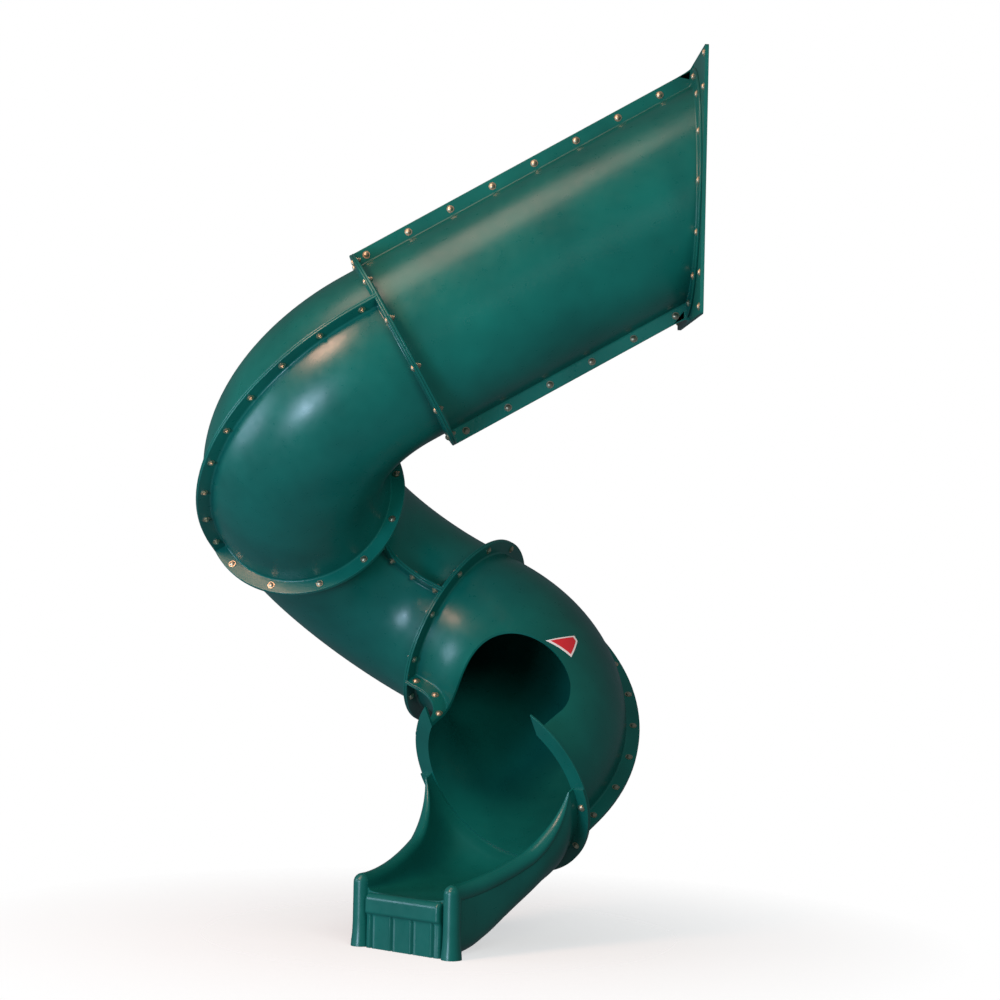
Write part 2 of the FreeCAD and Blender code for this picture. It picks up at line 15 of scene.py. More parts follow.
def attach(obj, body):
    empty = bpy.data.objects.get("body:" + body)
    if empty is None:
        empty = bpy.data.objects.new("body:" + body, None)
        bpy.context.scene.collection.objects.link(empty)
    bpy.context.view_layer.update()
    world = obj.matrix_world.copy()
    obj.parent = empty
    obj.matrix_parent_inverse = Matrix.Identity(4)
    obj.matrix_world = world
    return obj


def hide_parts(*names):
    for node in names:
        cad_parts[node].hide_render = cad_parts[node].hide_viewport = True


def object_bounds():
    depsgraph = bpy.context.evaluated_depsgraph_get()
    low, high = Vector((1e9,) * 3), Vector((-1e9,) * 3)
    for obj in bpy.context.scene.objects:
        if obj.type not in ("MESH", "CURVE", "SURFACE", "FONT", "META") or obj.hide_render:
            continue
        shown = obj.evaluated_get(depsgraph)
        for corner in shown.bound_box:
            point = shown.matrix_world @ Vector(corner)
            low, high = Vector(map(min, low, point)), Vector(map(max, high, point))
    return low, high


bl_info = {
    "name": "Spiral Tube Slide",
    "version": (1, 0, 0),
    "blender": (4, 5, 0),
    "location": "View3D > Sidebar > Tube Slide",
    "description": "Builds the visible pieces of a bolted spiral tube slide",
    "category": "Add Mesh",
}

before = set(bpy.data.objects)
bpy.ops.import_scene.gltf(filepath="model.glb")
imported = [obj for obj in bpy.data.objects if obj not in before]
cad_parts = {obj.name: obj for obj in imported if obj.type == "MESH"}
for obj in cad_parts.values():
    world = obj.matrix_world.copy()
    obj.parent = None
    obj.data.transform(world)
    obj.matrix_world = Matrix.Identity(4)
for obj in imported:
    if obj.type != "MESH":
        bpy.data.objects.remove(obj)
CAD_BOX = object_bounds()
GROUND = CAD_BOX[0][2]

MM = 0.001
BODY = "root"
ROUND_STEPS = 3
SKIN_STEPS = 64
BEND_STEPS = 36
GUSSET_STEPS = 12
ARCH_STEPS = 48
OVAL_STEPS = 96
HOLE_STEPS = 20
FAN_START_SHARE = 1.6
WALL_SLACK = 0.05 * MM
WELD = 0.02 * MM
SHARP_ANGLE = math.radians(32.0)
CREASE = 0.8
RIGHT_CREASE = 1.2


def linear(code):
    """Linear colour of an sRGB hex code."""
    channels = [int(code[k:k + 2], 16) / 255.0 for k in (1, 3, 5)]
    return [c / 12.92 if c <= 0.04045 else ((c + 0.055) / 1.055) ** 2.4 for c in channels]


# ---------------------------------------------------------------- settings
def length(name, description, value):
    return FloatProperty(name=name, description=description, default=value, min=0.0,
                         unit="LENGTH", subtype="DISTANCE", precision=4)


class TubeSettings(bpy.types.PropertyGroup):
    bore_radius: length("Bore radius", "Inside radius of the tube", 0.305)
    wall: length("Wall", "Thickness of the moulded wall", 0.007)
    flange_radius: length("Flange radius", "From the tube's axis to a flange's rim", 0.361)
    flange_thickness: length("Flange thickness", "Thickness of one flange", 0.008)
    bend_radius: length("Bend radius", "Radius of an elbow's axis", 0.485)
    collar: length("Collar", "Straight run at each end of an elbow", 0.060)
    entry_length: length("Entry length", "Length of the entry tube on its axis", 1.1)
    rim_round: length("Rim rounding", "Radius of a flange's outer edges", 0.0024)
    root_fillet: length("Root fillet", "Radius where a flange leaves the tube", 0.007)
    opening_width: length("Opening width", "Width of the exit opening", 0.465)
    opening_straight: length("Opening straight", "Straight run of the opening's sides", 0.140)
    opening_round: length("Opening rounding", "Bevel of the opening's edge", 0.0016)
    slope: FloatProperty(name="Entry slope", description="Fall of the entry tube",
                         default=math.radians(30.0), subtype="ANGLE", unit="ROTATION")
    clocking: FloatProperty(name="Clocking", description="Turn from one elbow to the next",
                            default=math.radians(60.0), subtype="ANGLE", unit="ROTATION")


class PanelSettings(bpy.types.PropertyGroup):
    width: length("Width", "Width of the wall panel", 0.760)
    height: length("Height", "Height of the wall panel", 0.870)
    thickness: length("Thickness", "Thickness of the wall panel", 0.012)
    corner: length("Corner radius", "Radius of the panel's corners", 0.012)
    hole_edge: length("Hole edge", "From a deck hole to the panel's edge", 0.025)
    hole_step: length("Hole step", "From a corner hole to the next one", 0.110)
    hole_radius: length("Hole radius", "Radius of a deck hole", 0.0055)
    gusset_run: length("Gusset run", "Reach of the web along a seam flange", 0.060)
    gusset_margin: length("Gusset margin", "From the web's tip to the panel's edge", 0.003)
    gusset_lap: length("Gusset lap", "How far the web runs down over the flange", 0.040)
    edge_round: length("Edge rounding", "Bevel of the panel's outer edges", 0.0015)


class ChuteSettings(bpy.types.PropertyGroup):
    collar: length("Collar", "Straight run after the outlet ring", 0.030)
    bend_radius: length("Bend radius", "Radius of the floor's upward sweep", 0.560)
    flat: length("Flat", "Level run of the floor", 0.325)
    nose_lap: length("Nose lap", "How far the nose's back is buried in the trough", 0.010)
    nose_reach: length("Nose reach", "From the end of the floor's run to the front", 0.015)
    roll: length("Roll", "Width of the rolled rail", 0.058)
    half_width: length("Mouth half width", "Half the floor's width at the mouth", 0.170)
    wall_height: length("Mouth wall height", "Height of the wall at the mouth", 0.030)
    height: length("Exit height", "Height of the floor above the ground", 0.180)
    foot_trim: length("Foot trim", "How far the foot is drawn past the ground", 0.005)
    nose_round: length("Nose rounding", "Radius of the nose's top edge", 0.022)
    nose_under: length("Nose underside", "Radius of the nose's lower edge", 0.012)
    nose_depth: length("Nose depth", "Run of the nose and apron from front to back", 0.060)
    nose_side: length("Nose side gap", "From the nose's end to the post's line", 0.006)
    nose_corner: length("Nose corner", "Radius of the nose's ends seen from above", 0.014)
    apron_recess: length("Apron recess", "How far the apron stands back from the nose", 0.009)
    apron_height: length("Apron height", "Height of the apron above the ground", 0.104)
    groove_pitch: length("Groove pitch", "From one apron groove to the next", 0.090)
    groove_depth: length("Groove depth", "Depth of an apron groove", 0.006)
    groove_width: length("Groove width", "Half width of an apron groove", 0.0035)
    ridge_height: length("Ridge height", "Height of the ridges beside a groove", 0.0025)
    ridge_offset: length("Ridge offset", "From a groove's middle to its ridges", 0.009)
    ridge_width: length("Ridge width", "Half width of a ridge", 0.004)
    lip: length("Lip", "Step down from the tube's bore to the chute's floor", 0.008)
    overhang: length("Rail overhang", "How far the rail stands out from the skirt", 0.010)


class FinishSettings(bpy.types.PropertyGroup):
    plastic: FloatVectorProperty(name="Polyethylene", description="Colour of the moulded plastic",
                                 default=linear("#0c5f56"), subtype="COLOR", min=0, max=1)
    plastic_dark: FloatVectorProperty(name="Polyethylene shade",
                                      description="Darker cast of the moulded plastic",
                                      default=linear("#094f48"), subtype="COLOR", min=0, max=1)
    zinc: FloatVectorProperty(name="Zinc", description="Colour of the plated steel",
                              default=linear("#f0e4c6"), subtype="COLOR", min=0, max=1)


class StageSettings(bpy.types.PropertyGroup):
    lens: FloatProperty(name="Lens", description="Focal length in millimetres", default=97.4)
    key_power: FloatProperty(name="Key", description="Power of the warm key light",
                             default=170.0, unit="POWER")
    window_power: FloatProperty(name="Window", description="Power of the cool light at the left",
                                default=60.0, unit="POWER")
    door_power: FloatProperty(name="Door", description="Power of the low cool light",
                              default=90.0, unit="POWER")
    front_power: FloatProperty(name="Front", description="Power of the broad front light",
                               default=130.0, unit="POWER")
    entry_power: FloatProperty(name="Entry", description="Power of the light on the entry tube",
                               default=75.0, unit="POWER")
    ceiling_power: FloatProperty(name="Ceiling", description="Power of the warm light overhead",
                                 default=70.0, unit="POWER")
    room_strength: FloatProperty(name="Room", description="Brightness of the dim room",
                                 default=0.12)


class SlideSettings(bpy.types.PropertyGroup):
    tube: PointerProperty(type=TubeSettings)
    panel: PointerProperty(type=PanelSettings)
    chute: PointerProperty(type=ChuteSettings)
    finish: PointerProperty(type=FinishSettings)
    stage: PointerProperty(type=StageSettings)


def settings():
    return bpy.context.scene.tube_slide


# ---------------------------------------------------------------- materials
def add_node(tree, kind, values, **options):
    """Adds a node with its options, and fills its inputs with values or links."""
    made = tree.nodes.new(kind)
    for key, value in options.items():
        setattr(made, key, value)
    for key, value in values.items():
        socket = made.inputs[key]
        if isinstance(value, bpy.types.NodeSocket):
            tree.links.new(value, socket)
        else:
            socket.default_value = value
    return made


def new_material(name):
    """An empty node material with its output, its shader and the object's coordinates."""
    material = bpy.data.materials.new(name)
    material.use_nodes = True
    tree = material.node_tree
    tree.nodes.clear()
    shader = add_node(tree, "ShaderNodeBsdfPrincipled", {})
    add_node(tree, "ShaderNodeOutputMaterial", {"Surface": shader.outputs["BSDF"]})
    place = add_node(tree, "ShaderNodeTexCoord", {}).outputs["Object"]
    return material, tree, shader, place


def plastic_material(name, roughness, orange_peel):
    """Rotomoulded polyethylene: a thick waxy skin that shrinks a little as it cools.

    The eye gets broad soft highlights that waver over slow waves, a fine orange peel, a colour
    that clouds slightly, and a gloss dulled in patches where bodies and hands have rubbed it.
    """
    finish = settings().finish
    material, tree, shader, place = new_material(name)
    cloud = add_node(tree, "ShaderNodeTexNoise",
                     {"Vector": place, "Scale": 1.0 / (280 * MM), "Detail": 3.0,
                      "Roughness": 0.55})
    shade = add_node(tree, "ShaderNodeMapRange",
                     {"Value": cloud.outputs["Fac"], "From Min": 0.3, "From Max": 0.7})
    colour = add_node(tree, "ShaderNodeMix",
                      {0: shade.outputs[0], 6: (*finish.plastic_dark, 1), 7: (*finish.plastic, 1)},
                      data_type="RGBA")
    scuff = add_node(tree, "ShaderNodeTexNoise",
                     {"Vector": place, "Scale": 1.0 / (35 * MM), "Detail": 6.0,
                      "Roughness": 0.65})
    gloss = add_node(tree, "ShaderNodeMapRange",
                     {"Value": scuff.outputs["Fac"], "From Min": 0.35, "From Max": 0.75,
                      "To Min": roughness, "To Max": roughness + 0.10})
    wave = add_node(tree, "ShaderNodeTexNoise",
                    {"Vector": place, "Scale": 1.0 / (90 * MM), "Detail": 1.0})
    peel = add_node(tree, "ShaderNodeTexNoise",
                    {"Vector": place, "Scale": 1.0 / (9 * MM), "Detail": 1.0})
    slow = add_node(tree, "ShaderNodeBump",
                    {"Height": wave.outputs["Fac"], "Strength": 0.5, "Distance": 1.2 * MM})
    fine = add_node(tree, "ShaderNodeBump",
                    {"Height": peel.outputs["Fac"], "Strength": orange_peel,
                     "Distance": 0.12 * MM, "Normal": slow.outputs["Normal"]})
    for key, value in (("Base Color", colour.outputs[2]), ("Roughness", gloss.outputs[0]),
                       ("Normal", fine.outputs["Normal"])):
        tree.links.new(value, shader.inputs[key])
    shader.inputs["IOR"].default_value = 1.51
    return material


def metal_material(name, colour, roughness, grit):
    """Zinc-plated steel or turned brass: a cloudy metal skin with a little dirt in its gloss.

    The eye gets small pale heads that glint softly against the dark plastic.
    """
    material, tree, shader, place = new_material(name)
    cloud = add_node(tree, "ShaderNodeTexNoise",
                     {"Vector": place, "Scale": 1.0 / grit, "Detail": 4.0})
    shade = add_node(tree, "ShaderNodeMix",
                     {0: cloud.outputs["Fac"], 6: (*[c * 0.72 for c in colour], 1),
                      7: (*colour, 1)}, data_type="RGBA")
    rough = add_node(tree, "ShaderNodeMapRange",
                     {"Value": cloud.outputs["Fac"], "To Min": roughness - 0.08,
                      "To Max": roughness + 0.12})
    bump = add_node(tree, "ShaderNodeBump",
                    {"Height": cloud.outputs["Fac"], "Strength": 0.25, "Distance": 0.1 * MM})
    for key, value in (("Base Color", shade.outputs[2]), ("Roughness", rough.outputs[0]),
                       ("Normal", bump.outputs["Normal"])):
        tree.links.new(value, shader.inputs[key])
    shader.inputs["Metallic"].default_value = 1.0
    return material


def film_material(name, code):
    """Printed vinyl film: one flat ink under a satin face.

    The eye gets an even patch of colour that stays duller than the plastic round it.
    """
    material, tree, shader, place = new_material(name)
    ink = linear(code)
    mottle = add_node(tree, "ShaderNodeTexNoise",
                      {"Vector": place, "Scale": 1.0 / (4 * MM), "Detail": 2.0})
    shade = add_node(tree, "ShaderNodeMix",
                     {0: mottle.outputs["Fac"], 6: (*[c * 0.86 for c in ink], 1), 7: (*ink, 1)},
                     data_type="RGBA")
    tree.links.new(shade.outputs[2], shader.inputs["Base Color"])
    shader.inputs["Roughness"].default_value = 0.42
    return material


def floor_material():
    """Pale matte floor that thins out to the backdrop round the slide.

    The eye gets a faint shadow that holds the foot down, and no horizon.
    """
    material, tree, shader, place = new_material("matte_floor")
    mottle = add_node(tree, "ShaderNodeTexNoise",
                      {"Vector": place, "Scale": 1.0 / (400 * MM), "Detail": 4.0})
    shade = add_node(tree, "ShaderNodeMix",
                     {0: mottle.outputs["Fac"], 6: (*linear("#f2f2f2"), 1),
                      7: (*linear("#fafafa"), 1)}, data_type="RGBA")
    tree.links.new(shade.outputs[2], shader.inputs["Base Color"])
    shader.inputs["Roughness"].default_value = 0.9
    away = add_node(tree, "ShaderNodeVectorMath", {0: place, 1: (-0.8, 0.2, GROUND)},
                    operation="DISTANCE")
    solid = add_node(tree, "ShaderNodeMapRange",
                     {"Value": away.outputs["Value"], "From Min": 0.3, "From Max": 1.8,
                      "To Min": 0.4, "To Max": 0.0})
    tree.links.new(solid.outputs[0], shader.inputs["Alpha"])
    return material


MATERIALS = {}


def material(name):
    """The named finish, made the first time it is asked for."""
    if name not in MATERIALS:
        makers = {
            "rotomoulded_polyethylene": lambda: plastic_material(name, 0.27, 0.2),
            "polyethylene_sheet": lambda: plastic_material(name, 0.36, 0.15),
            "zinc_plated_steel": lambda: metal_material(name, settings().finish.zinc, 0.48,
                                                        6 * MM),
            "turned_brass": lambda: metal_material(name, linear("#c9a45c"), 0.30, 6 * MM),
            "red_vinyl_film": lambda: film_material(name, "#d8323a"),
            "white_vinyl_film": lambda: film_material(name, "#f3efec"),
            "matte_floor": floor_material,
        }
        MATERIALS[name] = makers[name]()
    return MATERIALS[name]


# ---------------------------------------------------------------- mesh helpers
def sweep(bm, sections):
    """Draws a closed loop of points through sections and closes both ends; returns its faces."""
    before = set(bm.faces)
    loop = [bm.verts.new(p) for p in sections[0]]
    edges = [bm.edges.new(pair) for pair in zip(loop, loop[1:] + loop[:1])]
    bm.faces.new(loop)
    for section in sections[1:]:
        made = bmesh.ops.extrude_edge_only(bm, edges=edges)["geom"]
        fresh = {v for v in made if isinstance(v, bmesh.types.BMVert)}
        edges = [e for e in made if isinstance(e, bmesh.types.BMEdge)
                 and e.verts[0] in fresh and e.verts[1] in fresh]
        follow = {}
        for v in fresh:
            for e in v.link_edges:
                if e.other_vert(v) not in fresh:
                    follow[e.other_vert(v)] = v
        loop = [follow[v] for v in loop]
        for v, p in zip(loop, section):
            v.co = p
    bm.faces.new(loop)
    return [f for f in bm.faces if f not in before]


def arc_points(centre, radius, start, end, steps):
    """Points on an arc in a plane, from a start to an end angle in degrees."""
    angles = [math.radians(start + (end - start) * k / steps) for k in range(steps + 1)]
    return [(centre[0] + radius * math.cos(a), centre[1] + radius * math.sin(a)) for a in angles]


def finished(name, bm, finish, nodes=(), sharp=SHARP_ANGLE):
    """Turns a bmesh into a smooth-shaded piece that rides on the slide's one body."""
    bmesh.ops.recalc_face_normals(bm, faces=bm.faces)
    for face in bm.faces:
        face.smooth = True
    for edge in bm.edges:
        edge.smooth = not edge.is_manifold or edge.calc_face_angle() < sharp
    mesh = bpy.data.meshes.new(name)
    bm.to_mesh(mesh)
    bm.free()
    mesh.materials.append(material(finish))
    piece = bpy.data.objects.new(name, mesh)
    bpy.context.scene.collection.objects.link(piece)
    weighted = piece.modifiers.new("even_faces", "WEIGHTED_NORMAL")
    weighted.keep_sharp = True
    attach(piece, BODY)
    if nodes:
        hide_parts(*nodes)
    return piece


# ---------------------------------------------------------------- route of the tube
# A ring frame stands at the centre of a joint: X along the ride, Y to the rider's left.
def standing(origin, along, left):
    up = along.cross(left)
    return Matrix.Translation(origin) @ Matrix((along, left, up)).transposed().to_4x4()


def entry_frame():
    tube = settings().tube
    along = Vector((-math.cos(tube.slope), 0, -math.sin(tube.slope)))
    start = Vector((-settings().panel.thickness, 0, 0))
    return standing(start + along * tube.entry_length, along, Vector((0, -1, 0)))


def elbow_station(share):
    """Frame on an elbow's axis, in its inlet frame, at a share of the bend."""
    tube = settings().tube
    centre = Matrix.Translation((tube.collar, -tube.bend_radius, 0))
    swing = Matrix.Rotation(-math.pi / 2.0 * share, 4, "Z")
    return centre @ swing @ Matrix.Translation((0, tube.bend_radius, 0))


def elbow_exit():
    return elbow_station(1.0) @ Matrix.Translation((settings().tube.collar, 0, 0))


def route():
    """Inlet frames of the three elbows, and the outlet frame of the last."""
    turn = settings().tube.clocking
    first = entry_frame() @ Matrix.Rotation(turn / 2.0, 4, "X")
    second = first @ elbow_exit() @ Matrix.Rotation(turn, 4, "X")
    third = second @ elbow_exit() @ Matrix.Rotation(turn, 4, "X")
    return [first, second, third], third @ elbow_exit()


def upright(outlet):
    """The outlet frame turned about the tube's axis until its Y is level."""
    along = outlet.col[0].to_3d()
    left = Vector((0, 0, 1)).cross(along).normalized()
    return standing(outlet.translation, along, left)


# ---------------------------------------------------------------- half shells
def half_outline(swell):
    """Upper half of the tube's section as (side, height) points, its skin at a swell radius."""
    tube = settings().tube
    skin = tube.bore_radius + tube.wall
    rim, thick = tube.flange_radius, tube.flange_thickness
    r, f = tube.rim_round, tube.root_fillet
    reach = math.sqrt((skin + f) ** 2 - (thick + f) ** 2)
    root = math.degrees(math.atan2(thick + f, reach))
    first = FAN_START_SHARE * math.degrees(math.asin(thick / rim))
    lip = [(tube.bore_radius, 0.0)]
    lip += arc_points((rim - r, r), r, -90, 0, ROUND_STEPS)
    lip += arc_points((rim - r, thick - r), r, 0, 90, ROUND_STEPS)
    share = (swell - skin) / (rim - skin)
    fillet = arc_points((reach, thick + f), f, -90, root - 180, ROUND_STEPS + 1)
    fan = arc_points((0, 0), rim, first, root, ROUND_STEPS + 1)
    edge = [(a[0] + (b[0] - a[0]) * share, a[1] + (b[1] - a[1]) * share)
            for a, b in zip(fillet, fan)]
    crown = arc_points((0, 0), swell, root, 180 - root, SKIN_STEPS)[1:-1]
    mirrored = [(-y, z) for y, z in reversed(lip + edge)]
    inside = arc_points((0, 0), tube.bore_radius, 180, 0, SKIN_STEPS)[1:-1]
    return lip + edge + crown + mirrored + inside


def end_profile():
    """(distance from the joint, skin radius) along a shell's end: ring flange and its root."""
    tube = settings().tube
    skin = tube.bore_radius + tube.wall
    rim, thick = tube.flange_radius, tube.flange_thickness
    r, f = tube.rim_round, tube.root_fillet
    points = arc_points((r, rim - r), r, 180, 90, ROUND_STEPS)
    points += arc_points((thick - r, rim - r), r, 90, 0, ROUND_STEPS)
    points += arc_points((thick + f, skin + f), f, 180, 270, ROUND_STEPS)
    return points


def placed(matrix, x, outline):
    return [matrix @ Vector((x, y, z)) for y, z in outline]


def elbow_sections(inlet, side):
    """Sections of an elbow's upper (side 1) or lower (side -1) shell."""
    flip = Matrix.Scale(side, 4, (0, 0, 1))
    ends = end_profile()
    skin = settings().tube.bore_radius + settings().tube.wall
    plain = half_outline(skin)
    sections = [placed(inlet @ flip, x, half_outline(swell)) for x, swell in ends]
    sections += [placed(inlet @ elbow_station(k / BEND_STEPS) @ flip, 0, plain)
                 for k in range(BEND_STEPS + 1)]
    sections += [placed(inlet @ elbow_exit() @ flip, -x, half_outline(swell))
                 for x, swell in reversed(ends)]
    return sections


def entry_sections(side):
    """Sections of the entry tube's left (side 1) or right (side -1) shell."""
    tube = settings().tube
    base = entry_frame()
    ends = end_profile()
    rise = math.tan(tube.slope)
    stretch = 1.0 / math.cos(tube.slope)
    sections = []
    for x, swell in ends:
        sections.append([base @ Vector((-x, side * z, y)) for y, z in half_outline(swell)])
    for e, swell in reversed(ends):
        sections.append([base @ Vector((-tube.entry_length - y * rise + e * stretch,
                                        side * z, y)) for y, z in half_outline(swell)])
    return sections


def gusset(bm, side, up):
    """Web that sweeps from a seam flange's rim out to the panel's edge."""
    tube, panel = settings().tube, settings().panel
    stretch = 1.0 / math.cos(tube.slope)
    front = Vector((-panel.thickness, 0, 0))
    corner = front + Vector((0, 0, up * tube.flange_radius * stretch))
    along = Vector((-math.cos(tube.slope), 0, -math.sin(tube.slope)))
    start = corner + along * panel.gusset_run
    tip = front + Vector((0, 0, up * (panel.height / 2.0 - panel.gusset_margin)))
    inner = corner - Vector((0, 0, up * panel.gusset_lap))
    curve = []
    for k in range(GUSSET_STEPS + 1):
        t = k / GUSSET_STEPS
        curve.append(start * (1 - t) ** 2 + corner * (2 * t * (1 - t)) + tip * t ** 2)
    outline = curve + [inner]
    face = bm.faces.new([bm.verts.new(p) for p in outline])
    made = bmesh.ops.extrude_face_region(bm, geom=[face])["geom"]
    thick = Vector((0, -side * tube.flange_thickness, 0))
    bmesh.ops.translate(bm, vec=thick, verts=[v for v in made if isinstance(v, bmesh.types.BMVert)])
    rim = [e for e in bm.edges if e.is_valid and any(v in made for v in e.verts)
           and all((v.co - start).length > 1e-6 for v in e.verts)]
    bmesh.ops.bevel(bm, geom=[e for e in rim if e.is_manifold and e.calc_face_angle() > RIGHT_CREASE],
                    offset=tube.rim_round * 0.6, segments=2, affect="EDGES", profile=0.5,
                    material=-1, clamp_overlap=True)


class SLIDE_OT_entry(bpy.types.Operator):
    """Make the two half shells of the straight entry tube"""
    bl_idname = "tube_slide.entry"
    bl_label = "Entry Tube"

    def execute(self, context):
        for side, name in ((1, "left"), (-1, "right")):
            bm = bmesh.new()
            sweep(bm, entry_sections(side))
            for up in (1, -1):
                web = bmesh.new()
                gusset(web, side, up)
                scrap = bpy.data.meshes.new("web")
                web.to_mesh(scrap)
                web.free()
                bm.from_mesh(scrap)
                bpy.data.meshes.remove(scrap)
            finished("entry_tube_" + name, bm, "rotomoulded_polyethylene",
                     ["entry_shell_" + name])
        return {"FINISHED"}


def opening_cutter(outlet):
    """Arched block that opens the top of the last elbow."""
    tube = settings().tube
    half = tube.opening_width / 2.0
    back = -tube.opening_straight
    outline = [(tube.flange_thickness * 2, -half), (tube.flange_thickness * 2, half)]
    outline += arc_points((back, 0), half, 90, 270, ARCH_STEPS)
    bm = bmesh.new()
    face = bm.faces.new([bm.verts.new((x, y, 0.0)) for x, y in outline])
    made = bmesh.ops.extrude_face_region(bm, geom=[face])["geom"]
    bmesh.ops.translate(bm, vec=(0, 0, 1.0),
                        verts=[v for v in made if isinstance(v, bmesh.types.BMVert)])
    bmesh.ops.recalc_face_normals(bm, faces=bm.faces)
    mesh = bpy.data.meshes.new("opening_cutter")
    bm.to_mesh(mesh)
    bm.free()
    mesh.transform(upright(outlet))
    return bpy.data.objects.new("opening_cutter", mesh)


def cut_opening(bm, outlet):
    """Cuts the exit opening from a shell and rounds its edge."""
    tube = settings().tube
    cutter = opening_cutter(outlet)
    body = bpy.data.objects.new("whole_shell", bpy.data.meshes.new("whole_shell"))
    bmesh.ops.recalc_face_normals(bm, faces=bm.faces)
    bm.to_mesh(body.data)
    bm.free()
    for thing in (cutter, body):
        bpy.context.scene.collection.objects.link(thing)
    cut = body.modifiers.new("cut", "BOOLEAN")
    cut.operation = "DIFFERENCE"
    cut.object = cutter
    cut.solver = "EXACT"
    graph = bpy.context.evaluated_depsgraph_get()
    result = bpy.data.meshes.new_from_object(body.evaluated_get(graph))
    bm = bmesh.new()
    bm.from_mesh(result)
    to_opening = upright(outlet).inverted()
    half = tube.opening_width / 2.0

    def on_wall(v):
        p = to_opening @ v.co
        beyond = max(-p.x - tube.opening_straight, 0.0)
        return abs(math.hypot(beyond, p.y) - half) < WALL_SLACK and p.z > MM

    bmesh.ops.remove_doubles(bm, verts=bm.verts, dist=WELD)
    rim = [e for e in bm.edges if all(on_wall(v) for v in e.verts) and e.is_manifold
           and e.calc_face_angle() > CREASE]
    bmesh.ops.bevel(bm, geom=rim, offset=tube.opening_round, segments=2, affect="EDGES", profile=0.5,
                    material=-1, clamp_overlap=True)
    for thing in (cutter, body):
        data = thing.data
        bpy.data.objects.remove(thing)
        bpy.data.meshes.remove(data)
    bpy.data.meshes.remove(result)
    return bm


class SLIDE_OT_elbows(bpy.types.Operator):
    """Make the upper and lower half shells of the three elbows"""
    bl_idname = "tube_slide.elbows"
    bl_label = "Elbows"

    def execute(self, context):
        inlets, outlet = route()
        for name, inlet in zip(("elbow_1", "elbow_2", "exit_elbow"), inlets):
            for side, part in ((1, "upper"), (-1, "lower")):
                bm = bmesh.new()
                sweep(bm, elbow_sections(inlet, side))
                if name == "exit_elbow" and side > 0:
                    bm = cut_opening(bm, outlet)
                finished(name + "_" + part, bm, "rotomoulded_polyethylene",
                         [name + "_" + part + "_shell"])
        return {"FINISHED"}


# ---------------------------------------------------------------- wall panel
def loop_edges(bm, points):
    verts = [bm.verts.new(p) for p in points]
    return [bm.edges.new(pair) for pair in zip(verts, verts[1:] + verts[:1])]


def deck_holes():
    panel = settings().panel
    half_y = panel.width / 2.0 - panel.hole_edge
    half_z = panel.height / 2.0 - panel.hole_edge
    return [(sy * half_y, sz * z) for z in (half_z, half_z - panel.hole_step)
            for sy in (-1, 1) for sz in (-1, 1)]


class SLIDE_OT_panel(bpy.types.Operator):
    """Make the wall panel with its oval opening and deck holes"""
    bl_idname = "tube_slide.panel"
    bl_label = "Wall Panel"

    def execute(self, context):
        tube, panel = settings().tube, settings().panel
        stretch = 1.0 / math.cos(tube.slope)
        bm = bmesh.new()
        y, z, r = panel.width / 2.0, panel.height / 2.0, panel.corner
        outline = []
        for cy, cz, start in ((y - r, z - r, 0), (r - y, z - r, 90), (r - y, r - z, 180),
                              (y - r, r - z, 270)):
            outline += arc_points((cy, cz), r, start, start + 90, 6)
        edges = loop_edges(bm, [(0, a, b) for a, b in outline])
        oval = arc_points((0, 0), tube.bore_radius, 0, 360, OVAL_STEPS)[:-1]
        edges += loop_edges(bm, [(0, a, b * stretch) for a, b in oval])
        for cy, cz in deck_holes():
            hole = arc_points((cy, cz), panel.hole_radius, 0, 360, HOLE_STEPS)[:-1]
            edges += loop_edges(bm, [(0, a, b) for a, b in hole])
        bmesh.ops.triangle_fill(bm, use_beauty=True, use_dissolve=False, edges=edges)
        made = bmesh.ops.extrude_face_region(bm, geom=list(bm.faces))["geom"]
        bmesh.ops.translate(bm, vec=(-panel.thickness, 0, 0),
                            verts=[v for v in made if isinstance(v, bmesh.types.BMVert)])
        bmesh.ops.recalc_face_normals(bm, faces=bm.faces)
        rim = [e for e in bm.edges if e.is_manifold and e.calc_face_angle() > RIGHT_CREASE
               and any(abs(abs(v.co.y) - y) < r + MM or abs(abs(v.co.z) - z) < r + MM
                       for v in e.verts)]
        bmesh.ops.bevel(bm, geom=rim, offset=panel.edge_round, segments=2, affect="EDGES", profile=0.5,
                        material=-1, clamp_overlap=True)
        finished("deck_wall_panel", bm, "polyethylene_sheet", ["wall_panel"])
        return {"FINISHED"}


HEAD_RADIUS = 9 * MM
HEAD_HEIGHT = 6 * MM
WASHER_RADIUS = 12.5 * MM
WASHER_THICKNESS = 2 * MM
WASHER_ROUND = 0.5 * MM


def dome_profile(head_radius, head_height, washer_radius, washer_thickness):
    """Half section of a dome head on its washer, from the crown to the washer's rim."""
    rim = head_height / 4.0
    points = arc_points((0, washer_thickness + rim), 1.0, 90, 0, 6)
    cap = head_height - rim
    dome = [(x * head_radius, washer_thickness + rim + (z - washer_thickness - rim) * cap)
            for x, z in points]
    return dome + [(head_radius, washer_thickness),
                   (washer_radius - WASHER_ROUND, washer_thickness),
                   (washer_radius, washer_thickness - WASHER_ROUND), (washer_radius, 0.0),
                   (0.0, 0.0)]


